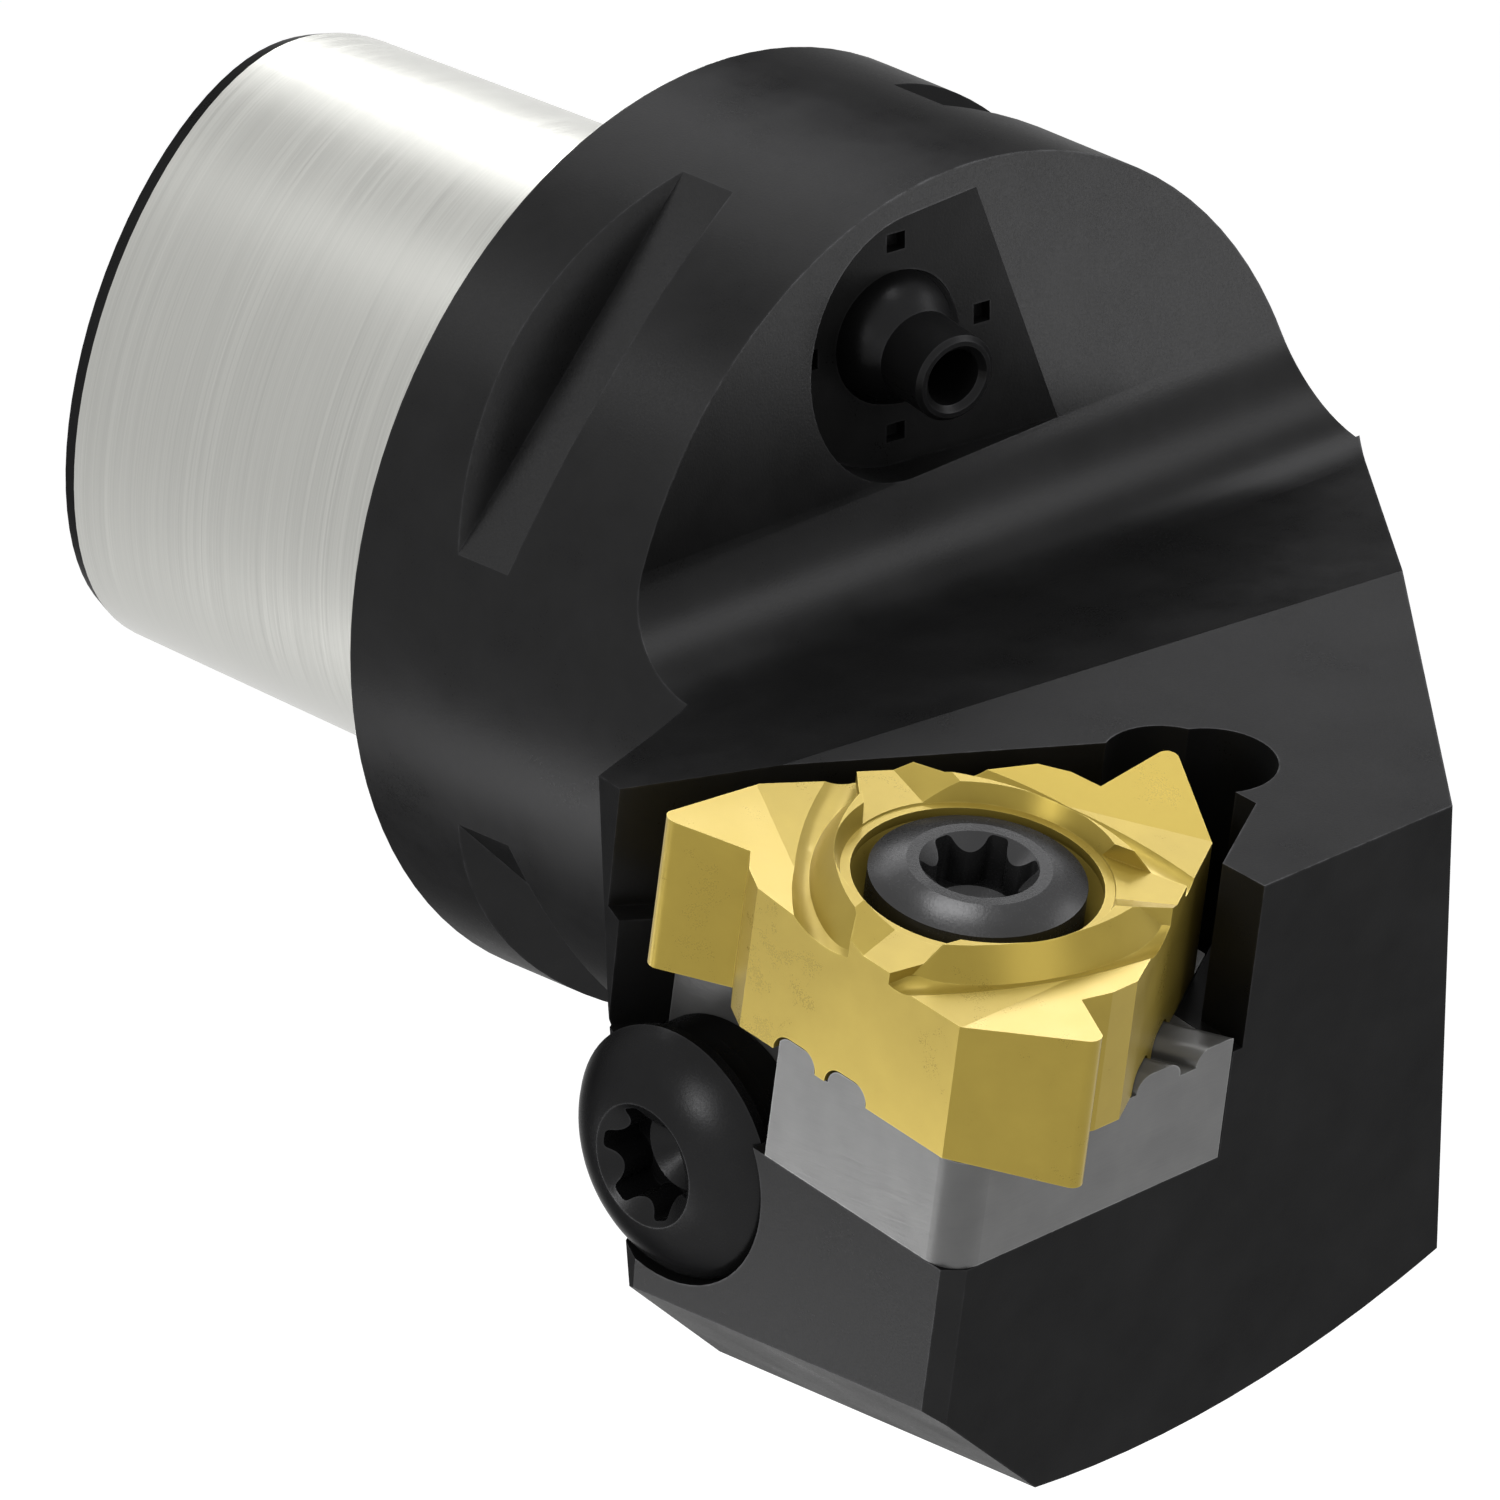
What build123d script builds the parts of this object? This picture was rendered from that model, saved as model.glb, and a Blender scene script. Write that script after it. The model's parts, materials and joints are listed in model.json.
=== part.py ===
from build123d import *
import math
import os

# Coupling shank, a three lobed taper with a flat contact flange
lobe_d = 27.55
lobe_rise = 0.73
taper_len = 23.2
taper_slope = 0.025
gauge_x = 2.5
rim_len = 0.8
rim_in = 0.3
flange_d = 40.0
lobe_turn = 95.0

# Bores on the coupling axis
segment_bore_d = 18.0
segment_bore_end = 7.0
segment_groove_d = 20.2
segment_groove_w = 4.0
segment_groove_at = 10.5
bolt_minor_d = 12.38
bolt_hole_end = 8.0
mouth_chamfer = 1.0

# Gripper slots round the flange
slot_count = 4
slot_floor_at = 17.77
slot_floor_w = 2.87
slot_mid_x = 6.77
slot_wall_deg = 30.0
slot_lip = 5.0
slot_reach = 16.0

# Upper flat, fillet, slope and lower flat of the head
flat_x = 15.72
flat_lean = 3.8
slope_x = 17.96
slope_z = 3.15
slope_deg = 7.76
slope_roll = 1.68
top_fillet = 4.5
crest_x = 30.0
crest_z = 4.9
deck_deg = 5.5

# Outside of the head block
block_back = 18.5
block_front = 52.0
block_top = 12.0
barrel_end = 22.0
side_skew = 39.6
side_reach = 27.2
arc_r = 49.0
arc_y = -18.4
arc_z = 26.5
arc_end_y = 22.0
foot_y = -22.8
sill_y = -29.67
sill_z = -16.45
sill_past = 1.5
flare_x = 19.15
flare_y = -19.63
flare_z = 3.83
flare_turn = 20.8
flare_lean = 5.2
heel_x = 23.33
heel_y = -28.38
heel_z = -5.08
heel_lean = 9.2
corner_x = 22.14
corner_y = -27.7
corner_z = 4.55
corner_turn = 68.9
corner_lean = 1.2

# Frame of the insert seat
seat_x = 38.36
seat_y = -22.18
seat_z = 3.80
seat_tilt = 10.0
seat_roll = 1.0

# Insert plan, repeated at three corners
inscribed_r = 8.0
insert_t = 7.0
flank_start = 7.1
flank_skew = 30.0
nose_a = 12.32
nose_b = -4.86
nose_r = 0.5
notch_a = 8.82
notch_b = -2.79
step_a = 9.24
step_b = -1.41
insert_hole_d = 5.8
sink_top_d = 10.4
sink_top_at = 0.8
sink_deep = 3.4
groove_w = 2.4
groove_deep = 0.85
groove_top_r = 0.8
groove_pitch = 2.95
groove_run = 3.4

# Chip surfaces on top of the insert, repeated at three corners
hub_rise = 0.45
hub_in_d = 11.9
hub_low_d = 11.2
hub_low_at = 0.35
ridge_back = 4.4
ridge_at = 5.9
ridge_fall = 57.0
ridge_turn = -17.0
land_drop = 0.72
rake_start = 7.2
rake_drop = 0.63
rake_rise = 9.1
chip_r = 1.4
chip_back = 18.0
chip_at = 6.55
chip_drop = 0.93
chip_tilt = 0.6
chip_area = [(3.7, -4.4), (2.55, -10.4), (15.0, -10.4), (15.0, 7.4), (7.75, 7.4), (4.9, 0.47)]
gap_a = 0.84
gap_b = -5.49
gap_turn = 14.1
gap_drop = 0.27
gap_rise = 24.0
gap_area = [(-3.0, -4.2), (3.75, -4.2), (2.6, -10.2), (-3.0, -10.2)]

# Shim and its pocket
shim_t = 5.1
shim_front = 8.37
shim_left = 7.9
shim_right = 7.35
shim_side = 8.0
shim_tip = 11.6
tip_room = 1.0
shim_gap = 0.05
seat_gap = 0.02
rib_gap = 0.12
shim_corner_r = 1.5
strip_skew = 35.0
strip_in_a = 0.31
strip_in_b = 0.46
wall_offset = 9.15
wall_right = 7.95
relief_a = (-1.66, 12.45)
relief_a_r = 2.62
relief_b = (-0.31, 13.75)
relief_b_r = 2.68
shim_step_a = -2.45
shim_step_b = -4.3

# Insert screw
head_r = 4.5
head_top = 0.34
head_edge = -0.25
head_ring_r = 3.0
socket_r = 2.42
socket_deep = 2.2
scallop_share = 0.38
scallop_out = 1.12
lobe_tip_share = 0.1
lead_in = 0.05
lead_deep = 0.6
point_deep = 0.9
socket_turn = -4.7
head_bulge = 0.08
cone_gap = 0.03
shank_r = 2.45
screw_run = 0.05
thread_deep = 0.35
thread_from = 0.5
thread_room = 1.0
insert_screw_end = 18.2
tip_chamfer = 0.5

# Side screw that clamps the shim
clamp_a = -7.8
clamp_c = -15.1
clamp_wide = 1.78
clamp_head_r = 5.46
clamp_ring_r = 2.7
clamp_neck_at = 3.4
clamp_neck_r = 5.0
clamp_back_r = 4.93
clamp_seat_at = 4.85
clamp_shank_r = 2.0
clamp_end_at = 15.5
clamp_room = 0.07
clamp_rim = 0.55
clamp_rim_in = 0.12
clamp_sink = 1.0
clamp_step = 0.07
clamp_neck_lead = 0.2
clamp_dome_start = 16.0
clamp_dome_end = 52.0
clamp_thread_at = 6.0

# Coolant nozzle in its ball socket
pocket_turn = 10.65
pocket_face = 13.89
pocket_y = -2.2
pocket_z = 13.1
pocket_r = 5.7
pocket_reach = 14.0
ball_r = 3.0
ball_back = 0.7
ball_run = 0.03
nozzle_dip = 3.0
tube_r = 1.9
tube_out = 4.4
tube_bore_r = 1.25
tube_flare = 0.25
tube_chamfer = 0.2
ball_lead = 0.4
collar_r = 2.15
collar_rise = 0.3
stake_at = 4.26
stake_w = 0.9
stake_h = 0.8
stake_deep = 0.6
channel_r = 1.5
channel_from = 6.0

# Frames worked out from the values above
tilt = math.radians(seat_tilt)
roll = math.radians(seat_roll)
seat_n = Vector(math.sin(tilt) * math.cos(roll), -math.sin(roll), math.cos(tilt) * math.cos(roll))
seat_e1 = Vector(math.cos(tilt), 0, -math.sin(tilt))
seat = Plane(origin=(seat_x, seat_y, seat_z), x_dir=seat_e1, z_dir=seat_n)
seat_e2 = seat.y_dir
flank = math.radians(flank_skew)
big = 70.0


def at_seat(a, b, c):
    return seat.from_local_coords(Vector(a, b, c))


def thirds(points):
    turned = []
    for third in range(3):
        ang = math.radians(120.0 * third)
        for p in points:
            x = p[0] * math.cos(ang) - p[1] * math.sin(ang)
            y = p[0] * math.sin(ang) + p[1] * math.cos(ang)
            turned.append((x, y))
    return turned


def lobes(mean_r, rise):
    ring = []
    for step in range(45):
        ang = math.radians(8.0 * step)
        wave = 3.0 * (ang - math.radians(lobe_turn))
        h = mean_r + rise * math.cos(wave)
        dh = -3.0 * rise * math.sin(wave)
        y = h * math.cos(ang) - dh * math.sin(ang)
        z = h * math.sin(ang) + dh * math.cos(ang)
        ring.append((y, z))
    return ring


# Corner of the insert, from one side to the next
side_meet_a = inscribed_r / math.cos(flank)
corner_points = [
    (flank_start, -inscribed_r),
    (nose_a, nose_b),
    (notch_a, notch_b),
    (step_a, step_b),
    (side_meet_a, 0.0),
]
insert_points = thirds(corner_points)
nose_reach = math.hypot(nose_a, nose_b)

# Shim outline, with the far corner cut short
shim_floor = -insert_t - seat_gap - shim_t
shim_top = -insert_t - seat_gap
c30 = math.cos(math.radians(30.0))
s30 = 0.5


def shim_outline(side, left, front, right, tip):
    points = [
        (front, -left),
        (front, right),
        ((side - right * s30) / c30, right),
        ((side - tip * s30) / c30, tip),
        (-(side - tip * s30) / c30, tip),
        (-(side + left * s30) / c30, -left),
    ]
    return points


shim_points = shim_outline(shim_side, shim_left, shim_front, shim_right, shim_tip)
pocket_tip = shim_tip + tip_room
lower_points = shim_outline(shim_side + shim_gap, big, big, shim_right + shim_gap, pocket_tip)
upper_points = shim_outline(wall_offset, big, big, wall_right, pocket_tip)

# Side screw frame, +Z points out of the head
clamp_face = at_seat(clamp_a, shim_step_b - clamp_seat_at, clamp_c)
clamp = Plane(origin=clamp_face, x_dir=seat_e1, z_dir=seat_e2 * -1.0)

# Nozzle frame, +Z points out of the pocket
turn = math.radians(pocket_turn)
face_n = Vector(math.cos(turn), -math.sin(turn), 0)
pocket_x = (pocket_face + math.sin(turn) * pocket_y) / math.cos(turn)
pocket_mid = Vector(pocket_x, pocket_y, pocket_z)
pocket_across = Vector(math.sin(turn), math.cos(turn), 0)
pocket_plane = Plane(origin=pocket_mid, x_dir=pocket_across, z_dir=face_n)
ball_mid = pocket_mid - face_n * ball_back
nozzle_n = face_n.rotate(Axis((0, 0, 0), pocket_across), nozzle_dip)
nozzle_plane = Plane(origin=ball_mid, x_dir=pocket_across, z_dir=nozzle_n)

# Planes that trim the head
lean = math.radians(flat_lean)
slope = math.radians(slope_deg)
slope_side = math.radians(slope_roll)
slope_n = Vector(-math.sin(slope), math.sin(slope_side), math.cos(slope))
deck = math.radians(deck_deg)
deck_n = Vector(math.sin(deck), 0, math.cos(deck))
deck_plane = Plane(origin=(crest_x, 0, crest_z), x_dir=(math.cos(deck), 0, -math.sin(deck)), z_dir=deck_n)
skew = math.radians(side_skew)
skew_n = Vector(math.sin(skew), math.cos(skew), 0)
skew_plane = Plane(origin=skew_n * side_reach, x_dir=(0, 0, 1), z_dir=skew_n)
flare = math.radians(flare_turn)
flare_down = math.radians(flare_lean)
flare_n = Vector(-math.cos(flare), -math.sin(flare), -math.sin(flare_down))
flare_plane = Plane(origin=(flare_x, flare_y, flare_z), x_dir=(0, 0, 1), z_dir=flare_n)
heel_n = Vector(-math.cos(flare), -math.sin(flare), -math.sin(math.radians(heel_lean)))
heel_plane = Plane(origin=(heel_x, heel_y, heel_z), x_dir=(0, 0, 1), z_dir=heel_n)
nook = math.radians(corner_turn)
nook_up = math.radians(corner_lean)
nook_n = Vector(-math.cos(nook), -math.sin(nook), math.sin(nook_up))
nook_plane = Plane(origin=(corner_x, corner_y, corner_z), x_dir=(0, 0, 1), z_dir=nook_n)
left_plane = Plane(origin=at_seat(0, -shim_left, 0), x_dir=seat_e1, z_dir=seat_e2 * -1.0)
front_plane = Plane(origin=at_seat(shim_front, 0, 0), x_dir=seat_e2, z_dir=seat_e1)
strip_mid = at_seat(shim_front - strip_in_a, -shim_left + strip_in_b, 0)
strip_n = seat_e1 * math.cos(math.radians(strip_skew)) - seat_e2 * math.sin(math.radians(strip_skew))
strip_plane = Plane(origin=strip_mid, x_dir=seat_n, z_dir=strip_n)

# Top profile of the head, seen across the tool
across = Vector(1, 0, math.tan(lean)).cross(slope_n).normalized()
profile = Plane(origin=(slope_x, 0, slope_z), x_dir=across.cross(Vector(0, 0, 1)) * -1.0, z_dir=across)

with BuildPart() as head_body:
    # Block under the insert with its arched foot
    with BuildSketch(Plane.YZ.offset(block_back)) as block_face:
        with BuildLine() as block_edge:
            arc_end_z = arc_z - math.sqrt(arc_r ** 2 - (arc_end_y - arc_y) ** 2)
            foot_z = arc_z - math.sqrt(arc_r ** 2 - (foot_y - arc_y) ** 2)
            sill_out = sill_y - sill_past
            foot_run = (sill_z - foot_z) / (sill_y - foot_y)
            sill_out_z = foot_z + foot_run * (sill_out - foot_y)
            Line((arc_end_y, arc_end_z), (arc_end_y, block_top))
            Line((arc_end_y, block_top), (sill_out, block_top))
            Line((sill_out, block_top), (sill_out, sill_out_z))
            Line((sill_out, sill_out_z), (foot_y, foot_z))
            ThreePointArc((foot_y, foot_z), (arc_y, arc_z - arc_r), (arc_end_y, arc_end_z))
        make_face()
    extrude(amount=block_front - block_back)
    with BuildSketch(flare_plane) as flare_cut:
        Rectangle(2 * big, 2 * big)
    extrude(amount=big, mode=Mode.SUBTRACT)
    with BuildSketch(heel_plane) as heel_cut:
        Rectangle(2 * big, 2 * big)
    extrude(amount=big, mode=Mode.SUBTRACT)
    with BuildSketch(nook_plane) as nook_cut:
        Rectangle(2 * big, 2 * big)
    extrude(amount=big, mode=Mode.SUBTRACT)
    # Round barrel behind the upper flat
    with BuildSketch(Plane.YZ) as barrel:
        Circle(flange_d / 2)
    extrude(amount=barrel_end)
    # Trim the outside with plain faces
    with BuildSketch(skew_plane) as skew_cut:
        Rectangle(2 * big, 2 * big)
    extrude(amount=big, mode=Mode.SUBTRACT)
    with BuildSketch(left_plane) as left_cut:
        Rectangle(2 * big, 2 * big)
    extrude(amount=big, mode=Mode.SUBTRACT)
    with BuildSketch(front_plane) as front_cut:
        Rectangle(2 * big, 2 * big)
    extrude(amount=big, mode=Mode.SUBTRACT)
    with BuildSketch(strip_plane) as strip_cut:
        Rectangle(2 * big, 2 * big)
    extrude(amount=big, mode=Mode.SUBTRACT)
    # Lower flat, then the slope with its fillet up to the upper flat
    with BuildSketch(deck_plane) as deck_cut:
        with Locations((big - crest_x + slope_x, 0)):
            Rectangle(2 * big, 2 * big)
    extrude(amount=big, mode=Mode.SUBTRACT)
    with BuildSketch(profile) as top_cut:
        with BuildLine() as top_edge:
            foot_x = flat_x - slope_z * math.tan(lean) - slope_x
            Line((foot_x, foot_x * math.tan(slope)), (big, big * math.tan(slope)))
            Line((big, big * math.tan(slope)), (big, big))
            Line((big, big), (foot_x - big * math.tan(lean), big))
            Line((foot_x - big * math.tan(lean), big), (foot_x, foot_x * math.tan(slope)))
        make_face()
        inner = [v for v in top_cut.vertices() if abs(v.X) < top_fillet]
        fillet(inner, radius=top_fillet)
    extrude(amount=big, both=True, mode=Mode.SUBTRACT)
    # Three lobed taper and its blackened end rim
    with BuildSketch(Plane.YZ) as lobe_big:
        with BuildLine() as lobe_big_edge:
            Spline(*lobes(lobe_d / 2 + gauge_x * taper_slope, lobe_rise), periodic=True)
        make_face()
    with BuildSketch(Plane.YZ.offset(-taper_len)) as lobe_small:
        with BuildLine() as lobe_small_edge:
            small_r = lobe_d / 2 - (taper_len - gauge_x) * taper_slope
            Spline(*lobes(small_r, lobe_rise), periodic=True)
        make_face()
    with BuildSketch(Plane.YZ.offset(-taper_len - rim_len)) as rim_small:
        with BuildLine() as rim_small_edge:
            Spline(*lobes(small_r - rim_in, lobe_rise), periodic=True)
        make_face()
    loft(ruled=True)
    # Clamping bore, its groove and the centre bolt hole
    shank_end = Plane.YZ.offset(-taper_len - rim_len)
    with BuildSketch(shank_end) as seg_bore:
        Circle(segment_bore_d / 2)
    extrude(amount=taper_len + rim_len - segment_bore_end, mode=Mode.SUBTRACT)
    with BuildSketch(Plane.YZ.offset(-segment_groove_at)) as seg_groove:
        Circle(segment_groove_d / 2)
    extrude(amount=-segment_groove_w, mode=Mode.SUBTRACT)
    with BuildSketch(Plane.YZ.offset(-segment_bore_end)) as bolt_hole:
        Circle(bolt_minor_d / 2)
    extrude(amount=segment_bore_end + bolt_hole_end, mode=Mode.SUBTRACT)
    with BuildSketch(shank_end) as mouth:
        Circle(segment_bore_d / 2 + mouth_chamfer)
    extrude(amount=mouth_chamfer, taper=45, mode=Mode.SUBTRACT)
    # Flat bottomed gripper slots cut across the flange rim
    for quarter in range(slot_count):
        slot_ang = math.radians(45.0 + 90.0 * quarter)
        slot_out = Vector(0, math.cos(slot_ang), math.sin(slot_ang))
        slot_along = Vector(0, -math.sin(slot_ang), math.cos(slot_ang))
        slot_mid = slot_out * slot_floor_at + Vector(slot_mid_x, 0, 0)
        slot_plane = Plane(origin=slot_mid, x_dir=(1, 0, 0), z_dir=slot_along)
        lip_w = slot_floor_w / 2 + slot_lip * math.tan(math.radians(slot_wall_deg))
        side_sign = slot_plane.to_local_coords(slot_mid + slot_out).Y
        with BuildSketch(slot_plane) as slot_shape:
            with BuildLine() as slot_edge:
                Polyline(
                    (-slot_floor_w / 2, 0),
                    (slot_floor_w / 2, 0),
                    (lip_w, slot_lip * side_sign),
                    (-lip_w, slot_lip * side_sign),
                    close=True,
                )
            make_face()
        extrude(amount=slot_reach, both=True, mode=Mode.SUBTRACT)
    # Seat for the shim, then the wider room for the insert
    with BuildSketch(seat.offset(shim_floor)) as shim_room:
        with BuildLine() as shim_room_edge:
            Polyline(*lower_points, close=True)
        make_face()
    extrude(amount=big, mode=Mode.SUBTRACT)
    with BuildSketch(seat.offset(shim_top)) as insert_room:
        with BuildLine() as insert_room_edge:
            Polyline(*upper_points, close=True)
        make_face()
    extrude(amount=big, mode=Mode.SUBTRACT)
    # Two overlapping relief holes at the far corner
    with BuildSketch(seat.offset(shim_floor)) as relief:
        with Locations(relief_a):
            Circle(relief_a_r)
        with Locations(relief_b):
            Circle(relief_b_r)
    extrude(amount=big, mode=Mode.SUBTRACT)
    # Threaded hole of the insert screw
    with BuildSketch(seat.offset(-insert_screw_end - thread_room)) as insert_thread:
        Circle(shank_r + screw_run)
    extrude(amount=insert_screw_end, mode=Mode.SUBTRACT)
    # Counterbore and threaded hole of the side screw
    with BuildSketch(clamp.offset(-clamp_seat_at)) as clamp_bore:
        Circle(clamp_neck_r + clamp_room)
    extrude(amount=big, mode=Mode.SUBTRACT)
    with BuildSketch(clamp.offset(-clamp_seat_at)) as clamp_thread:
        Circle(clamp_shank_r + screw_run)
    extrude(amount=clamp_seat_at - clamp_end_at - thread_room, mode=Mode.SUBTRACT)
    with BuildSketch(clamp.offset(-clamp_wide - clamp_sink)) as dome_room:
        Circle(clamp_head_r + clamp_room)
    extrude(amount=big, mode=Mode.SUBTRACT)
    # Slanted nozzle pocket, ball socket and coolant channel
    with BuildSketch(pocket_plane) as pocket_shape:
        Circle(pocket_r)
        with Locations((pocket_r * 2, 0)):
            Rectangle(pocket_r * 4, pocket_r * 2)
    extrude(amount=pocket_reach, mode=Mode.SUBTRACT)
    with BuildSketch(Plane(origin=ball_mid, x_dir=pocket_across, z_dir=(0, 0, 1))) as socket_half:
        Circle(ball_r + ball_run)
        with Locations((-ball_r, 0)):
            Rectangle(2 * ball_r, 4 * ball_r, mode=Mode.SUBTRACT)
    revolve(axis=Axis(ball_mid, face_n), revolution_arc=360, mode=Mode.SUBTRACT)
    with BuildSketch(pocket_plane) as stakes:
        with PolarLocations(stake_at, 4):
            Rectangle(stake_h, stake_w)
    extrude(amount=-stake_deep, mode=Mode.SUBTRACT)
    channel_run = ball_mid - Vector(channel_from, 0, 0)
    with BuildSketch(Plane(origin=ball_mid, z_dir=channel_run)) as channel:
        Circle(channel_r)
    extrude(amount=-channel_run.length, mode=Mode.SUBTRACT)
head_body.part.label = "head_body"

# Six lobed driving socket, for the sketches of both screws
scallop_at = socket_r * scallop_out
scallop_r = socket_r * scallop_share
lobe_tip_r = socket_r * lobe_tip_share
point_r = scallop_at - scallop_r

# Cutter for the rake face, the chip groove and the slope of the hub at one corner
chip_face = Plane(origin=seat.origin, x_dir=seat_e1, z_dir=seat_e2 * -1.0)
ridge_way = seat_e1 * math.cos(math.radians(ridge_turn)) + seat_e2 * math.sin(math.radians(ridge_turn))
ridge_mid = seat.origin - ridge_way * ridge_back
ridge_face = Plane(origin=ridge_mid, x_dir=ridge_way, z_dir=ridge_way.cross(seat_n))
chip_mid = seat.origin - ridge_way * chip_back
chip_axis = seat_n.rotate(Axis((0, 0, 0), ridge_way), -chip_tilt)
chip_section = Plane(origin=chip_mid, x_dir=ridge_way, z_dir=ridge_way.cross(chip_axis))
with BuildPart() as chip_cut:
    with BuildSketch(chip_face) as rake:
        with BuildLine() as rake_edge:
            rake_far = 2 * inscribed_r
            rake_end = (rake_far - rake_start) * math.tan(math.radians(rake_rise)) - rake_drop
            Polyline(
                (0, -land_drop),
                (rake_start, -rake_drop),
                (rake_far, rake_end),
                (rake_far, insert_t),
                (0, insert_t),
                close=True,
            )
        make_face()
    extrude(amount=2 * inscribed_r, both=True)
    with BuildSketch(chip_section) as chip_groove:
        with Locations((chip_back + chip_at, chip_r - chip_drop)):
            Circle(chip_r)
    revolve(axis=Axis(chip_mid, chip_axis), revolution_arc=360)
    with BuildSketch(ridge_face) as ridge:
        with BuildLine() as ridge_edge:
            ridge_r = ridge_back + ridge_at
            ridge_run = insert_t / math.tan(math.radians(ridge_fall))
            Polyline(
                (0, hub_rise - insert_t),
                (ridge_r + ridge_run, hub_rise - insert_t),
                (ridge_r, hub_rise),
                (ridge_r, 2 * insert_t),
                (0, 2 * insert_t),
                close=True,
            )
        make_face()
    revolve(axis=Axis(ridge_mid, seat_n), revolution_arc=360, mode=Mode.SUBTRACT)
    with BuildSketch(seat.offset(-insert_t / 2)) as chip_bounds:
        with BuildLine() as chip_bounds_edge:
            Polyline(*chip_area, close=True)
        make_face()
    extrude(amount=insert_t, mode=Mode.INTERSECT)

# Cutter for the notch between two corners, with one level and one rising side
gap_way = -seat_e2 * math.cos(math.radians(gap_turn)) + seat_e1 * math.sin(math.radians(gap_turn))
gap_face = Plane(origin=at_seat(gap_a, gap_b, 0), x_dir=seat_n.cross(gap_way), z_dir=gap_way)
with BuildPart() as gap_cut:
    with BuildSketch(gap_face) as gap_shape:
        with BuildLine() as gap_edge:
            side = 1.0 if gap_face.x_dir.dot(seat_e1) > 0 else -1.0
            up = 1.0 if gap_face.y_dir.dot(seat_n) > 0 else -1.0
            rise_run = (insert_t + gap_drop) / math.tan(math.radians(gap_rise))
            Polyline(
                (0, -up * gap_drop),
                (side * insert_t, -up * gap_drop),
                (side * insert_t, up * insert_t),
                (-side * rise_run, up * insert_t),
                close=True,
            )
        make_face()
    extrude(amount=2 * inscribed_r, both=True)
    with BuildSketch(seat.offset(-insert_t / 2)) as gap_bounds:
        with BuildLine() as gap_bounds_edge:
            Polyline(*gap_area, close=True)
        make_face()
    extrude(amount=insert_t, mode=Mode.INTERSECT)


def side_plane(third, out):
    ang = math.radians(120.0 * third)
    along = seat_e1 * math.cos(ang) + seat_e2 * math.sin(ang)
    outward = seat_e1 * math.sin(ang) - seat_e2 * math.cos(ang)
    return Plane(origin=seat.origin + outward * out - seat_n * insert_t, x_dir=along, z_dir=outward)


with BuildPart() as threading_insert:
    # Three cornered blank
    with BuildSketch(seat.offset(hub_rise)) as blank:
        with BuildLine() as blank_edge:
            Polyline(*insert_points, close=True)
        make_face()
        noses = [v for v in blank.vertices() if math.hypot(v.X, v.Y) > nose_reach - nose_r]
        fillet(noses, radius=nose_r)
    extrude(amount=-insert_t - hub_rise)
    # Chip surfaces and notches, which leave a raised hub ring
    for third in range(3):
        add(chip_cut.part.rotate(Axis(seat.origin, seat_n), 120.0 * third), mode=Mode.SUBTRACT)
        add(gap_cut.part.rotate(Axis(seat.origin, seat_n), 120.0 * third), mode=Mode.SUBTRACT)
    # Screw hole with its countersink and the ring's inner wall
    with BuildSketch(seat.offset(hub_rise)) as through:
        Circle(insert_hole_d / 2)
    extrude(amount=-insert_t - hub_rise, mode=Mode.SUBTRACT)
    with BuildSketch(seat.offset(hub_rise)) as sink_rim:
        Circle(sink_top_d / 2)
    extrude(amount=-sink_top_at - hub_rise, mode=Mode.SUBTRACT)
    with BuildSketch(seat.offset(-sink_top_at)) as sink_top:
        Circle(sink_top_d / 2)
    with BuildSketch(seat.offset(-sink_top_at - sink_deep)) as sink_low:
        Circle(insert_hole_d / 2)
    loft(mode=Mode.SUBTRACT)
    with BuildSketch(seat.offset(hub_rise)) as ring_top:
        Circle(hub_in_d / 2)
    with BuildSketch(seat.offset(-hub_low_at)) as ring_low:
        Circle(hub_low_d / 2)
    loft(mode=Mode.SUBTRACT)
    # Round topped grooves under each side that key on the shim
    for third in range(3):
        with BuildSketch(side_plane(third, inscribed_r)) as keyway:
            with Locations((-groove_pitch / 2, 0), (groove_pitch / 2, 0)):
                Rectangle(groove_w, 2 * groove_deep)
            tops = [v for v in keyway.vertices() if v.Y > 0]
            fillet(tops, radius=groove_top_r)
        extrude(amount=-groove_run, mode=Mode.SUBTRACT)
threading_insert.part.label = "threading_insert"

# Ribs that fit the grooves of the insert and end at the sides of the shim
with BuildPart() as rib_set:
    for third in range(3):
        with BuildSketch(side_plane(third, 2 * inscribed_r)) as ribs:
            with Locations((-groove_pitch / 2, 0), (groove_pitch / 2, 0)):
                Rectangle(groove_w - 2 * rib_gap, 2 * (groove_deep - rib_gap))
            tops = [v for v in ribs.vertices() if v.Y > 0]
            fillet(tops, radius=groove_top_r - rib_gap)
        extrude(amount=rib_gap - inscribed_r - groove_run)
    with BuildSketch(seat.offset(shim_top)) as rib_bounds:
        with BuildLine() as rib_bounds_edge:
            Polyline(*shim_points, close=True)
        make_face()
    extrude(amount=2 * groove_deep, mode=Mode.INTERSECT)

with BuildPart() as shim:
    # Plate cut to the pocket
    with BuildSketch(seat.offset(shim_floor)) as plate:
        with BuildLine() as plate_edge:
            Polyline(*shim_points, close=True)
        make_face()
        front_left = [v for v in plate.vertices() if v.X > shim_front - shim_corner_r and v.Y < 0]
        fillet(front_left, radius=shim_corner_r)
    extrude(amount=shim_t)
    add(rib_set.part)
    # Room for the insert screw and for the side screw
    with BuildSketch(seat.offset(shim_floor)) as shim_hole:
        Circle(insert_hole_d / 2)
    extrude(amount=shim_t + groove_deep, mode=Mode.SUBTRACT)
    with BuildSketch(seat.offset(shim_floor)) as shim_step:
        with Locations((shim_step_a - big, shim_step_b - big)):
            Rectangle(2 * big, 2 * big)
    extrude(amount=shim_t + groove_deep, mode=Mode.SUBTRACT)
shim.part.label = "shim"

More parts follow.
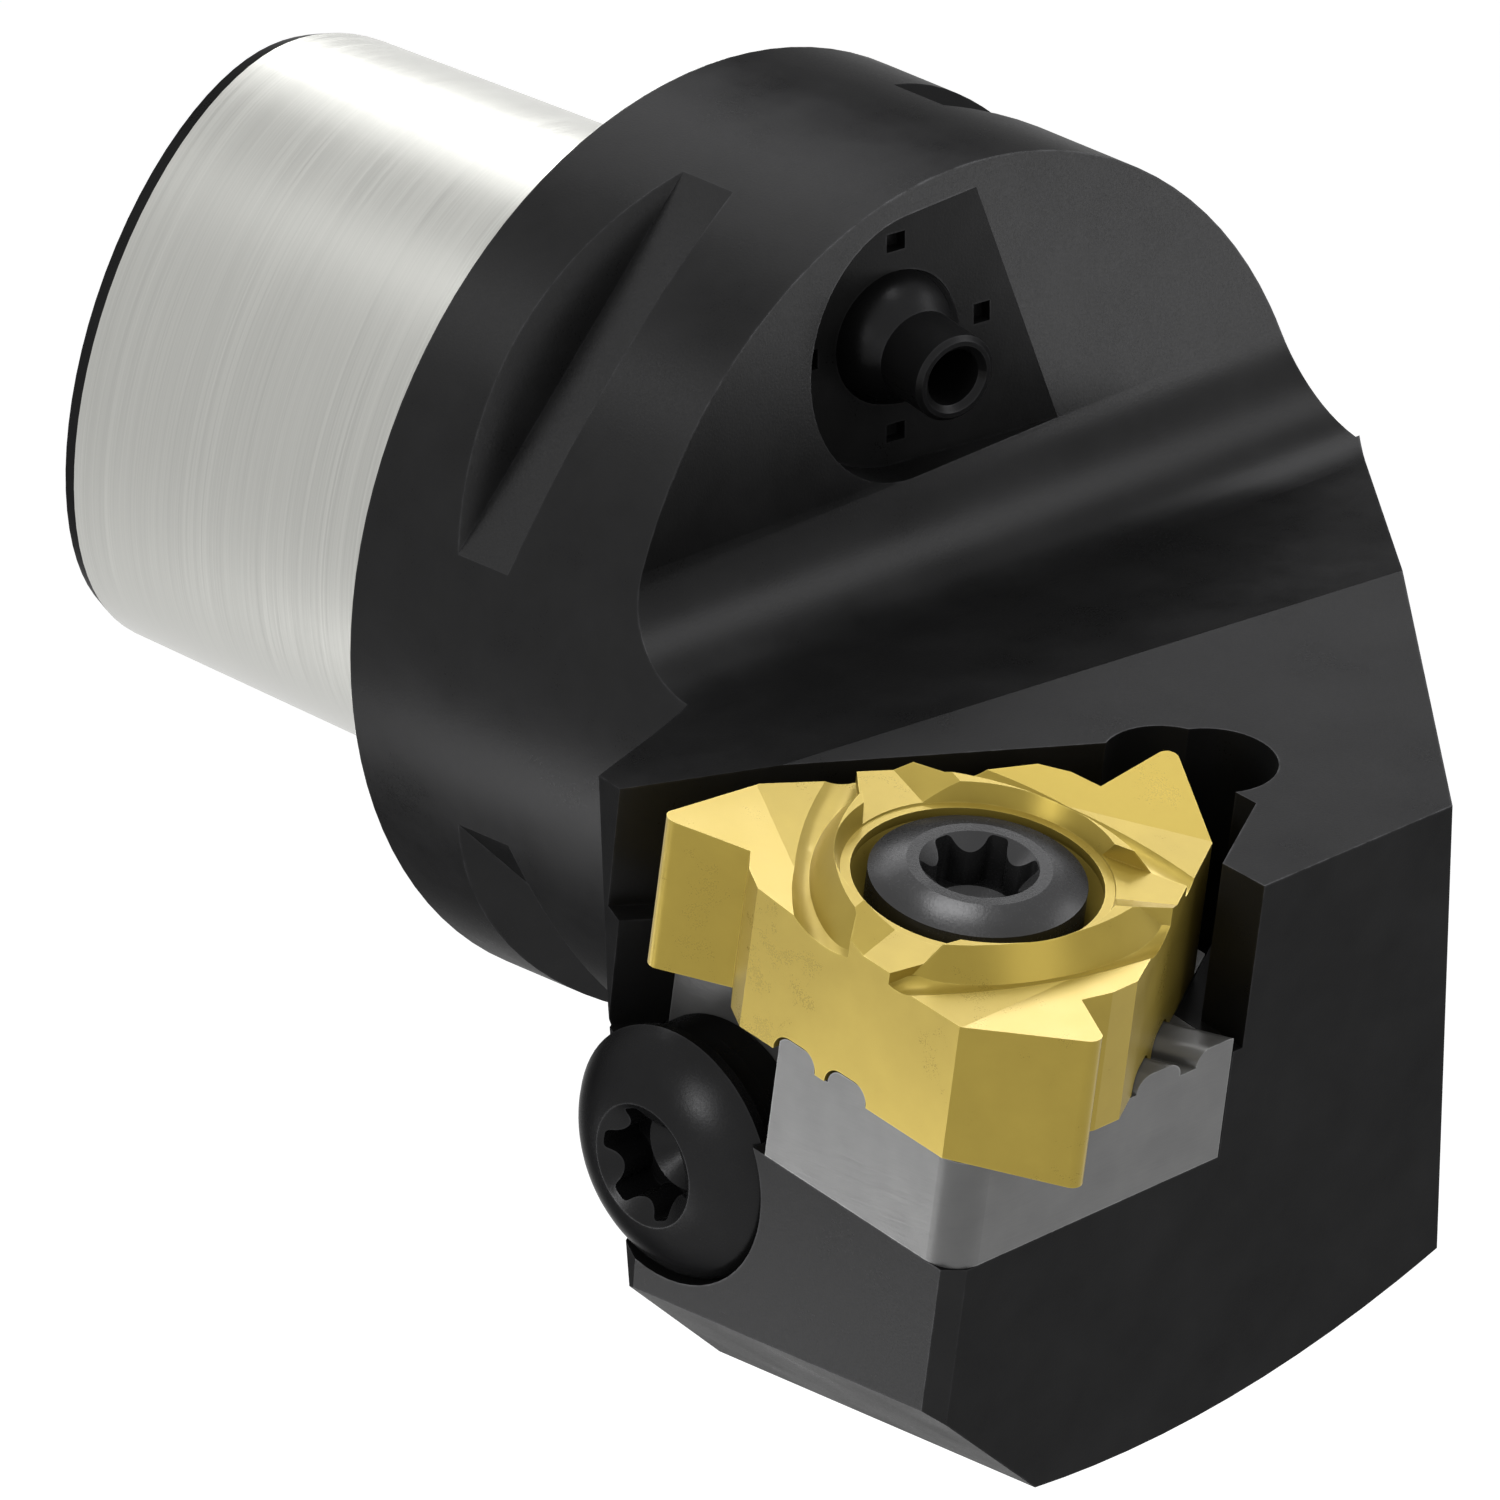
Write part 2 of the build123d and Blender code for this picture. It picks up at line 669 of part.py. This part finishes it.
with BuildPart() as insert_screw:
    # Domed head, cone and threaded shank turned about the seat axis
    screw_face = Plane(origin=seat.origin, x_dir=seat_e1, z_dir=seat_e2 * -1.0)
    with BuildSketch(screw_face) as screw_half:
        with BuildLine() as screw_edge:
            dome_r = (head_ring_r + head_r + head_bulge) / 2
            dome_c = (head_top + head_edge + head_bulge) / 2
            sink_run = sink_deep / (sink_top_d / 2 - insert_hole_d / 2)
            cone_top = -sink_top_at - (sink_top_d / 2 - cone_gap - head_r) * sink_run
            cone_low = -sink_top_at - (sink_top_d / 2 - cone_gap - shank_r) * sink_run
            thread_top = shim_floor - thread_from
            thread_r = shank_r - thread_deep
            Line((0, head_top), (head_ring_r, head_top))
            ThreePointArc((head_ring_r, head_top), (dome_r, dome_c), (head_r, head_edge))
            Line((head_r, head_edge), (head_r, cone_top))
            Line((head_r, cone_top), (shank_r, cone_low))
            Line((shank_r, cone_low), (shank_r, thread_top))
            Line((shank_r, thread_top), (thread_r, thread_top - thread_deep))
            Line((thread_r, thread_top - thread_deep), (thread_r, tip_chamfer - insert_screw_end))
            Line((thread_r, tip_chamfer - insert_screw_end), (thread_r - tip_chamfer, -insert_screw_end))
            Line((thread_r - tip_chamfer, -insert_screw_end), (0, -insert_screw_end))
            Line((0, -insert_screw_end), (0, head_top))
        make_face()
    revolve(axis=Axis(seat.origin, seat_n), revolution_arc=360)
    # Six lobed driving socket
    with BuildSketch(seat.offset(head_top)) as socket_lead:
        Circle(socket_r + lead_in)
    with BuildSketch(seat.offset(head_top - lead_deep)) as socket_lead_low:
        Circle(point_r)
    loft(mode=Mode.SUBTRACT)
    with BuildSketch(seat.offset(head_top)) as socket:
        Circle(socket_r)
        with PolarLocations(scallop_at, 6, start_angle=30.0 + socket_turn):
            Circle(scallop_r, mode=Mode.SUBTRACT)
        fillet(socket.vertices(), radius=lobe_tip_r)
    extrude(amount=-socket_deep, mode=Mode.SUBTRACT)
    with BuildSketch(seat.offset(head_top - socket_deep)) as point_top:
        Circle(point_r)
    with BuildSketch(seat.offset(head_top - socket_deep - point_deep)) as point_low:
        Circle(lobe_tip_r)
    loft(mode=Mode.SUBTRACT)
insert_screw.part.label = "insert_screw"

with BuildPart() as shim_screw:
    # Domed head, stepped neck and threaded shank turned about the side axis
    clamp_side = Plane(origin=clamp_face, x_dir=clamp.x_dir, z_dir=clamp.y_dir * -1.0)
    with BuildSketch(clamp_side) as clamp_half:
        with BuildLine() as clamp_edge:
            dome_end = -clamp_wide - clamp_rim
            seat_end = -clamp_seat_at + screw_run
            Line((0, 0), (clamp_ring_r, 0))
            dome_start = math.radians(clamp_dome_start)
            dome_stop = math.radians(clamp_dome_end)
            clamp_thread_r = clamp_shank_r - thread_deep
            clamp_thread_top = -clamp_thread_at - thread_deep
            clamp_tip = tip_chamfer - clamp_end_at
            Spline(
                (clamp_ring_r, 0),
                (clamp_head_r, -clamp_wide),
                tangents=[
                    (math.cos(dome_start), -math.sin(dome_start)),
                    (math.cos(dome_stop), -math.sin(dome_stop)),
                ],
            )
            Line((clamp_head_r, -clamp_wide), (clamp_head_r - clamp_rim_in, dome_end))
            Line((clamp_head_r - clamp_rim_in, dome_end), (clamp_neck_r, dome_end - clamp_neck_lead))
            Line((clamp_neck_r, dome_end - clamp_neck_lead), (clamp_neck_r, -clamp_neck_at))
            Line((clamp_neck_r, -clamp_neck_at), (clamp_back_r, -clamp_neck_at - clamp_step))
            Line((clamp_back_r, -clamp_neck_at - clamp_step), (clamp_back_r, seat_end))
            Line((clamp_back_r, seat_end), (clamp_shank_r, seat_end))
            Line((clamp_shank_r, seat_end), (clamp_shank_r, -clamp_thread_at))
            Line((clamp_shank_r, -clamp_thread_at), (clamp_thread_r, clamp_thread_top))
            Line((clamp_thread_r, clamp_thread_top), (clamp_thread_r, clamp_tip))
            Line((clamp_thread_r, clamp_tip), (clamp_thread_r - tip_chamfer, -clamp_end_at))
            Line((clamp_thread_r - tip_chamfer, -clamp_end_at), (0, -clamp_end_at))
            Line((0, -clamp_end_at), (0, 0))
        make_face()
    revolve(axis=Axis(clamp_face, clamp.z_dir), revolution_arc=360)
    # Six lobed driving socket
    with BuildSketch(clamp) as clamp_lead:
        Circle(clamp_ring_r - lead_in)
    with BuildSketch(clamp.offset(-lead_deep)) as clamp_lead_low:
        Circle(point_r)
    loft(mode=Mode.SUBTRACT)
    with BuildSketch(clamp) as clamp_socket:
        Circle(socket_r)
        with PolarLocations(scallop_at, 6, start_angle=30.0):
            Circle(scallop_r, mode=Mode.SUBTRACT)
        fillet(clamp_socket.vertices(), radius=lobe_tip_r)
    extrude(amount=-socket_deep, mode=Mode.SUBTRACT)
    with BuildSketch(clamp.offset(-socket_deep)) as clamp_point_top:
        Circle(point_r)
    with BuildSketch(clamp.offset(-socket_deep - point_deep)) as clamp_point_low:
        Circle(lobe_tip_r)
    loft(mode=Mode.SUBTRACT)
shim_screw.part.label = "shim_screw"

with BuildPart() as coolant_nozzle:
    # Ball, collar and tube turned about the nozzle axis
    nozzle_face = Plane(origin=ball_mid, x_dir=nozzle_plane.x_dir, z_dir=nozzle_plane.y_dir * -1.0)
    with BuildSketch(nozzle_face) as turned:
        with BuildLine() as turned_edge:
            tube_tip = tube_out + ball_back
            ball_end = math.sqrt(ball_r ** 2 - collar_r ** 2)
            ball_low = -math.sqrt(ball_r ** 2 - (tube_bore_r + tube_flare) ** 2)
            collar_top = ball_end + collar_rise
            Line((tube_bore_r, ball_low + ball_lead), (tube_bore_r, tube_tip - tube_flare))
            Line((tube_bore_r, tube_tip - tube_flare), (tube_bore_r + tube_flare, tube_tip))
            Line((tube_bore_r + tube_flare, tube_tip), (tube_r - tube_chamfer, tube_tip))
            Line((tube_r - tube_chamfer, tube_tip), (tube_r, tube_tip - tube_chamfer))
            Line((tube_r, tube_tip - tube_chamfer), (tube_r, collar_top))
            Line((tube_r, collar_top), (collar_r, ball_end))
            ThreePointArc((collar_r, ball_end), (ball_r, 0), (tube_bore_r + tube_flare, ball_low))
            Line((tube_bore_r + tube_flare, ball_low), (tube_bore_r, ball_low + ball_lead))
        make_face()
    revolve(axis=Axis(ball_mid, nozzle_n), revolution_arc=360)
coolant_nozzle.part.label = "coolant_nozzle"

os.makedirs("parts", exist_ok=True)
export_step(head_body.part, "parts/head_body.step")
export_step(threading_insert.part, "parts/threading_insert.step")
export_step(shim.part, "parts/shim.step")
export_step(insert_screw.part, "parts/insert_screw.step")
export_step(shim_screw.part, "parts/shim_screw.step")
export_step(coolant_nozzle.part, "parts/coolant_nozzle.step")
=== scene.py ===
import json
import math

import bpy
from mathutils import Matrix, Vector


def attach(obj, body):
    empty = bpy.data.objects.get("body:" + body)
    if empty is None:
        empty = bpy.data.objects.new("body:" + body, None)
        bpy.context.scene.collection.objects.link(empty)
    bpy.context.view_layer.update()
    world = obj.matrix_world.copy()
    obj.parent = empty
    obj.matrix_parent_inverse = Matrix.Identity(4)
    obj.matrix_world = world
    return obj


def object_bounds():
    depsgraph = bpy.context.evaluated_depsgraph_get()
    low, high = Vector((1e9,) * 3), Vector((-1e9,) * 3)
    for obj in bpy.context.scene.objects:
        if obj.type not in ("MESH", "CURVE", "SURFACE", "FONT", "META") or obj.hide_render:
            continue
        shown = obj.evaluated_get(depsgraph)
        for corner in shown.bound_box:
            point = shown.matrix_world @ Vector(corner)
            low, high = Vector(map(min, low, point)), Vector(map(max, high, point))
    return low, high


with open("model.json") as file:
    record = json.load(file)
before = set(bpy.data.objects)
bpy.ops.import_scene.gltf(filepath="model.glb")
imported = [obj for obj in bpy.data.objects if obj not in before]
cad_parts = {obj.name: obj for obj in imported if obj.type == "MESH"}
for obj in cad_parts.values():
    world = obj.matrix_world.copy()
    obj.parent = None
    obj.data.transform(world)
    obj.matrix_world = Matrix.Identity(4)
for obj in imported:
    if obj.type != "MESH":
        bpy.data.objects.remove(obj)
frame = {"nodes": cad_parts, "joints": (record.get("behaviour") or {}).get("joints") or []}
cad_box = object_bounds()
scene = bpy.context.scene
scene.view_settings.view_transform = "Standard"

MM = 0.001
WHITE = (1, 1, 1, 1)


# Node helpers: a value is a number, a colour or another node's output
def material(name):
    made = bpy.data.materials.new(name)
    made.use_nodes = True
    tree = made.node_tree
    return made, tree, tree.nodes["Principled BSDF"]


def put(tree, value, socket):
    if hasattr(value, "links"):
        tree.links.new(value, socket)
    else:
        socket.default_value = value


def add(tree, kind, inputs=(), **settings):
    made = tree.nodes.new(kind)
    for key, value in settings.items():
        setattr(made, key, value)
    for key, value in dict(inputs).items():
        put(tree, value, made.inputs[key])
    return made


def maths(tree, operation, a, b=0.0, c=0.0, clamp=False):
    made = add(tree, "ShaderNodeMath", {0: a, 1: b, 2: c}, operation=operation, use_clamp=clamp)
    return made.outputs[0]


def product(tree, a, b, clamp=False):
    return maths(tree, "MULTIPLY", a, b, clamp=clamp)


def place(tree):
    """Where on the object a point lies, in mm."""
    where = add(tree, "ShaderNodeTexCoord").outputs["Object"]
    return add(tree, "ShaderNodeVectorMath", {0: where, 1: (1 / MM,) * 3}, operation="MULTIPLY").outputs[0]


def noise(tree, where, scale, detail=3.0, rough=0.5):
    made = add(tree, "ShaderNodeTexNoise", {"Vector": where, "Scale": scale, "Detail": detail, "Roughness": rough})
    return made.outputs["Fac"]


def ground_lines(tree, axes, scales):
    """Noise that is drawn out into lines along the axes with the small scales."""
    stretched = [product(tree, axis, scale) for axis, scale in zip(axes, scales)]
    where = add(tree, "ShaderNodeCombineXYZ", dict(enumerate(stretched))).outputs[0]
    return noise(tree, where, scale=1.0, detail=3.0, rough=0.6)


# Noise hardly leaves this range, so this is what spread stretches to the wanted one
NOISE_LOW, NOISE_HIGH = 0.3, 0.7


def spread(tree, value, low, high):
    ends = {"From Min": NOISE_LOW, "From Max": NOISE_HIGH, "To Min": low, "To Max": high}
    return add(tree, "ShaderNodeMapRange", {"Value": value, **ends}).outputs["Result"]


# A Mix node has sockets for every type, so these go by number
def mix(tree, share, one, two):
    return add(tree, "ShaderNodeMix", {0: share, 2: one, 3: two}).outputs[0]


def blend(tree, share, one, two):
    return add(tree, "ShaderNodeMix", {0: share, 6: one, 7: two}, data_type="RGBA").outputs[2]


def mottle(tree, value, dark, light):
    return blend(tree, spread(tree, value, 0.0, 1.0), dark, light)


def dress(tree, shader, values):
    for name, value in values.items():
        put(tree, value, shader.inputs[name])


def relief(tree, shader, height, depth):
    made = add(tree, "ShaderNodeBump", {"Height": height, "Distance": depth, "Strength": 1.0})
    dress(tree, shader, {"Normal": made.outputs["Normal"]})


# Cosine between the true normal and the bevelled one, where rubbing starts and where it is full
WEAR_STARTS, WEAR_FULL = 0.995, 0.88


def edge_wear(tree, where, radius, most):
    """Share of rubbed surface, near the edges only and broken up by noise."""
    rounded = add(tree, "ShaderNodeBevel", {"Radius": radius}, samples=6).outputs[0]
    flat = add(tree, "ShaderNodeNewGeometry").outputs["Normal"]
    dot = add(tree, "ShaderNodeVectorMath", {0: rounded, 1: flat}, operation="DOT_PRODUCT").outputs["Value"]
    edge = add(tree, "ShaderNodeMapRange", {"Value": dot, "From Min": WEAR_STARTS, "From Max": WEAR_FULL})
    grain = spread(tree, noise(tree, where, scale=1.3, detail=4.0), 0.0, 1.0)
    return product(tree, product(tree, edge.outputs["Result"], grain, clamp=True), most)


# Black oxide is a thin dark layer, so its grazing reflection is held down by the edge tint
OXIDE_METAL = 0.68
OXIDE_EDGE_TINT = (0.40, 0.40, 0.40, 1)
OXIDE_DARK, OXIDE_LIGHT = 0.90, 1.10
OXIDE_WORN, OXIDE_WEAR_RADIUS, OXIDE_WEAR_MOST = (0.10, 0.10, 0.105, 1), 0.18 * MM, 0.30
CLOUD_ROUGHNESS, GRAIN_ROUGHNESS = 0.04, 0.03
STEEL_RELIEF = 0.004 * MM

# The shank is ground bright from its black end rim up to the contact face at x = 0, but not in its bore
SILVER_DARK, SILVER_LIGHT = (0.38, 0.38, 0.360, 1), (0.44, 0.44, 0.416, 1)
SILVER_SMOOTH, SILVER_ROUGH = 0.30, 0.42
TAPER_LINES = (14.0, 0.05, 0.05)  # these run round the coupling axis
RIM_LENGTH, FACE_MARGIN, INNER_RADIUS = 0.81, 0.01, 11.6
RIM_X = cad_box[0].x / MM + RIM_LENGTH


def black_steel(name, colour, rough, taper=False):
    made, tree, shader = material(name)
    where = place(tree)
    cloud = noise(tree, where, scale=0.22, detail=4.0, rough=0.6)
    grain = noise(tree, where, scale=9.0, detail=2.0)
    dark, light = (tuple(share * c for c in colour) + (1,) for share in (OXIDE_DARK, OXIDE_LIGHT))
    worn = edge_wear(tree, where, OXIDE_WEAR_RADIUS, OXIDE_WEAR_MOST)
    tone = blend(tree, worn, mottle(tree, cloud, dark, light), OXIDE_WORN)
    clouded = spread(tree, cloud, rough - CLOUD_ROUGHNESS, rough + CLOUD_ROUGHNESS)
    shine = maths(tree, "ADD", clouded, spread(tree, grain, -GRAIN_ROUGHNESS, GRAIN_ROUGHNESS))
    metal, edge_tint, height = OXIDE_METAL, OXIDE_EDGE_TINT, grain
    if taper:
        x, y, z = axes = add(tree, "ShaderNodeSeparateXYZ", {0: where}).outputs
        ground = ground_lines(tree, axes, TAPER_LINES)
        radius = maths(tree, "SQRT", maths(tree, "ADD", product(tree, y, y), product(tree, z, z)))
        outside = maths(tree, "GREATER_THAN", radius, INNER_RADIUS)
        between = product(tree, maths(tree, "LESS_THAN", x, FACE_MARGIN), maths(tree, "GREATER_THAN", x, RIM_X))
        bright = product(tree, between, outside)
        tone = blend(tree, bright, tone, mottle(tree, ground, SILVER_DARK, SILVER_LIGHT))
        shine = mix(tree, bright, shine, spread(tree, ground, SILVER_SMOOTH, SILVER_ROUGH))
        height = mix(tree, bright, grain, ground)
        edge_tint = blend(tree, bright, OXIDE_EDGE_TINT, WHITE)
        metal = maths(tree, "MULTIPLY_ADD", bright, 1.0 - OXIDE_METAL, OXIDE_METAL)
    dress(tree, shader, {
        "Base Color": tone, "Roughness": shine, "Metallic": metal,
        "Specular IOR Level": 0.0, "Specular Tint": edge_tint,
    })
    relief(tree, shader, height, STEEL_RELIEF)
    return made


CARBIDE_WEAR_RADIUS, CARBIDE_WEAR_MOST = 0.12 * MM, 0.5
GOLD_DARK, GOLD_LIGHT, GOLD_WORN = (0.34, 0.250, 0.045, 1), (0.38, 0.282, 0.052, 1), (0.62, 0.50, 0.14, 1)
GOLD_SMOOTH, GOLD_ROUGH, GOLD_GRAIN = 0.27, 0.33, 0.012
GOLD_RELIEF = 0.0006 * MM


def coated_carbide():
    made, tree, shader = material("gold_coating")
    where = place(tree)
    cloud = noise(tree, where, scale=0.35, detail=4.0, rough=0.6)
    grain = noise(tree, where, scale=14.0, detail=3.0, rough=0.6)
    worn = edge_wear(tree, where, CARBIDE_WEAR_RADIUS, CARBIDE_WEAR_MOST)
    clouded = spread(tree, cloud, GOLD_SMOOTH, GOLD_ROUGH)
    dress(tree, shader, {
        "Base Color": blend(tree, worn, mottle(tree, cloud, GOLD_DARK, GOLD_LIGHT), GOLD_WORN),
        "Roughness": maths(tree, "ADD", clouded, spread(tree, grain, -GOLD_GRAIN, GOLD_GRAIN)),
        "Metallic": 0.42, "Specular IOR Level": 0.15,
    })
    relief(tree, shader, grain, GOLD_RELIEF)
    return made


SHIM_DARK, SHIM_LIGHT, SHIM_WORN = (0.098, 0.098, 0.098, 1), (0.118, 0.118, 0.117, 1), (0.34, 0.34, 0.34, 1)
SHIM_SMOOTH, SHIM_ROUGH = 0.34, 0.46
SHIM_LINES = (0.4, 0.4, 16.0)


def ground_carbide():
    made, tree, shader = material("ground_carbide")
    where = place(tree)
    ground = ground_lines(tree, add(tree, "ShaderNodeSeparateXYZ", {0: where}).outputs, SHIM_LINES)
    cloud = noise(tree, where, scale=0.5, detail=3.0)
    worn = edge_wear(tree, where, CARBIDE_WEAR_RADIUS, CARBIDE_WEAR_MOST)
    dress(tree, shader, {
        "Base Color": blend(tree, worn, mottle(tree, cloud, SHIM_DARK, SHIM_LIGHT), SHIM_WORN),
        "Roughness": spread(tree, ground, SHIM_SMOOTH, SHIM_ROUGH), "Metallic": 0.5,
    })
    relief(tree, shader, ground, STEEL_RELIEF)
    return made


finishes = {
    "head_body": black_steel("black_oxide", (0.023, 0.023, 0.0233), rough=0.32, taper=True),
    "threading_insert": coated_carbide(),
    "shim": ground_carbide(),
    # The insert screw is the same black oxide steel as the other parts, with a lighter base: painted light on its
    # head
    "insert_screw": black_steel("insert_screw_painted_light_steel", (0.055, 0.055, 0.056), rough=0.26),
    "shim_screw": black_steel("side_screw_steel", (0.020, 0.020, 0.0204), rough=0.24),
    "coolant_nozzle": black_steel("nozzle_steel", (0.018, 0.018, 0.0185), rough=0.32),
}
for node, finish in finishes.items():
    mesh = frame["nodes"][node].data
    mesh.materials.clear()
    mesh.materials.append(finish)


# Screw threads: a ridge wound on the core of each shank, running out over half a turn at both ends
STEPS = 40
RUN_OUT = STEPS / 2
SUNK, FOOT, CREST = 0.03, 0.42, 0.07  # foot below the core's surface in mm, then half widths in pitches
RIDGE_SIDES = 4
joint_of = {joint["child"]: joint for joint in frame["joints"]}


def thread(name, body, first, last, pitch, core, crest, finish):
    """Ridge from first to last mm below the joint's place, on the axis that the body turns about."""
    start = Vector(joint_of[body]["pos_m"]) / MM
    axis = -Vector(joint_of[body]["axis"]).normalized()
    across = axis.orthogonal().normalized()
    beside = axis.cross(across)
    count = int((last - first - pitch) / pitch * STEPS)
    points = []
    for step in range(count + 1):
        angle = 2 * math.pi * step / STEPS
        depth = first + pitch / 2 + pitch * step / STEPS
        top = core + (crest - core) * min(1.0, step / RUN_OUT, (count - step) / RUN_OUT)
        way = across * math.cos(angle) + beside * math.sin(angle)
        for radius, shift in ((core - SUNK, -FOOT), (top, -CREST), (top, CREST), (core - SUNK, FOOT)):
            points.append((start + way * radius + axis * (depth + shift * pitch)) * MM)
    faces = []
    for step in range(count):
        for side in range(RIDGE_SIDES):
            low, high = (RIDGE_SIDES * step + corner % RIDGE_SIDES for corner in (side, side + 1))
            faces.append((low, high, high + RIDGE_SIDES, low + RIDGE_SIDES))
    faces.append(tuple(reversed(range(RIDGE_SIDES))))
    faces.append(tuple(RIDGE_SIDES * count + side for side in range(RIDGE_SIDES)))
    mesh = bpy.data.meshes.new(name)
    mesh.from_pydata(points, [], faces)
    mesh.materials.append(finish)
    piece = bpy.data.objects.new(name, mesh)
    scene.collection.objects.link(piece)
    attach(piece, body)


thread("insert_screw_thread", "insert_screw", first=13.0, last=17.65, pitch=0.8, core=2.10, crest=2.43,
       finish=finishes["insert_screw"])
thread("side_screw_thread", "side_screw", first=6.4, last=14.95, pitch=0.7, core=1.65, crest=1.98,
       finish=finishes["shim_screw"])


def stand(thing, spot, back):
    """Puts a camera or a lamp at a spot in metres, with its back turned the way that back points."""
    thing.location = spot
    thing.rotation_mode = "QUATERNION"
    thing.rotation_quaternion = (-back).to_track_quat("-Z", "Y")
    scene.collection.objects.link(thing)


# Camera at the photograph's angle, far enough for an almost parallel view; the frame's width holds in a
# plane that is NEARER to it than the middle
AZIMUTH, ELEVATION = math.radians(45.0), math.radians(25.0)
LENS, SENSOR = 1500.0, 36.0
FRAME_WIDTH, NEARER = 61.35 * MM, 10 * MM
MIDDLE = Vector((4.469, -1.358, -8.837)) * MM
level = math.cos(ELEVATION)
back = Vector((math.sin(AZIMUTH) * level, -math.cos(AZIMUTH) * level, math.sin(ELEVATION)))
camera_data = bpy.data.cameras.new("camera")
camera_data.lens = LENS
camera_data.sensor_width = SENSOR
camera_data.clip_start, camera_data.clip_end = 0.5, 20.0
camera = bpy.data.objects.new("camera", camera_data)
stand(camera, MIDDLE + back * (FRAME_WIDTH * LENS / SENSOR + NEARER), back)
scene.camera = camera


# White surroundings, and a pale floor that keeps a soft shadow; both are whiter to the camera and in
# mirror images than they are as a light
WORLD_LIGHT, WORLD_SEEN = 0.5, 1.0
FLOOR_DROP, FLOOR_REACH = 90 * MM, 3.0
PAPER, PAPER_GLOW = (0.80, 0.80, 0.80, 1), 0.58


def seen(tree):
    path = add(tree, "ShaderNodeLightPath").outputs
    mirrored = maths(tree, "MAXIMUM", path["Is Glossy Ray"], path["Is Transmission Ray"])
    return maths(tree, "MAXIMUM", path["Is Camera Ray"], mirrored)


world = bpy.data.worlds.new("studio")
scene.world = world
world.use_nodes = True
sky = world.node_tree
sky.nodes.clear()
strength = add(sky, "ShaderNodeMapRange", {"Value": seen(sky), "To Min": WORLD_LIGHT, "To Max": WORLD_SEEN})
glow = add(sky, "ShaderNodeBackground", {"Color": WHITE, "Strength": strength.outputs["Result"]})
add(sky, "ShaderNodeOutputWorld", {"Surface": glow.outputs[0]})

floor_z = cad_box[0].z - FLOOR_DROP
corners = [(x * FLOOR_REACH, y * FLOOR_REACH, floor_z) for x, y in ((-1, -1), (1, -1), (1, 1), (-1, 1))]
floor_mesh = bpy.data.meshes.new("floor")
floor_mesh.from_pydata(corners, [], [(0, 1, 2, 3)])
floor = bpy.data.objects.new("floor", floor_mesh)
scene.collection.objects.link(floor)
paper, tree, shader = material("paper")
dress(tree, shader, {
    "Base Color": PAPER, "Roughness": 0.9, "Specular IOR Level": 0.1,
    "Emission Color": WHITE, "Emission Strength": product(tree, seen(tree), PAPER_GLOW),
})
floor_mesh.materials.append(paper)


# Soft boxes: each stands where one face of the head mirrors it
def soft_box(name, spot, towards, distance, size, brightness):
    """Lamp that faces a spot in mm, with distance and size in metres and brightness in parts of white."""
    wide, high = size
    data = bpy.data.lights.new(name, "AREA")
    data.shape = "RECTANGLE"
    data.size, data.size_y = wide, high
    data.energy = brightness * math.pi * wide * high
    lamp = bpy.data.objects.new(name, data)
    way = Vector(towards).normalized()
    stand(lamp, Vector(spot) * MM + way * distance, way)
    lamp.visible_camera = False


soft_box("deck_box", (14, 2, 14), (-0.55, 0.64, 0.54), 0.13, (0.11, 0.045), 6.6)
soft_box("flat_box", (14, 8, 14), (0.69, 0.64, -0.33), 0.10, (0.038, 0.034), 5.2)
soft_box("fillet_box", (20, 0, 14), (0.50, 0.64, 0.58), 0.13, (0.10, 0.04), 3.0)
soft_box("side_box", (28, -30, -22), (-0.64, -0.63, -0.44), 0.060, (0.055, 0.020), 4.4)
soft_box("barrel_low_box", (13, -18, -8), (-0.64, -0.62, -0.45), 0.06, (0.022, 0.014), 5.0)
soft_box("barrel_top_box", (8, -6, 18), (-0.64, 0.30, 0.70), 0.12, (0.05, 0.035), 3.0)
soft_box("slot_box", (8, -13, 13), (-0.64, -0.42, 0.64), 0.10, (0.035, 0.022), 2.6)
soft_box("dome_box", (24, -32, -7), (0.01, -0.94, 0.33), 0.12, (0.022, 0.022), 7.0)
soft_box("nose_box", (38, -12, 4), (-0.31, 0.44, 0.84), 0.13, (0.026, 0.026), 4.0)
soft_box("groove_box", (44, -24, 3), (0.93, 0.08, 0.30), 0.12, (0.05, 0.03), 2.6)
soft_box("top_box", (38, -22, 4), (-0.16, 0.16, 0.98), 0.15, (0.045, 0.045), 9.0)
soft_box("key_box", (20, -30, 0), (0.0, -0.92, 0.38), 0.50, (0.20, 0.20), 3.4)
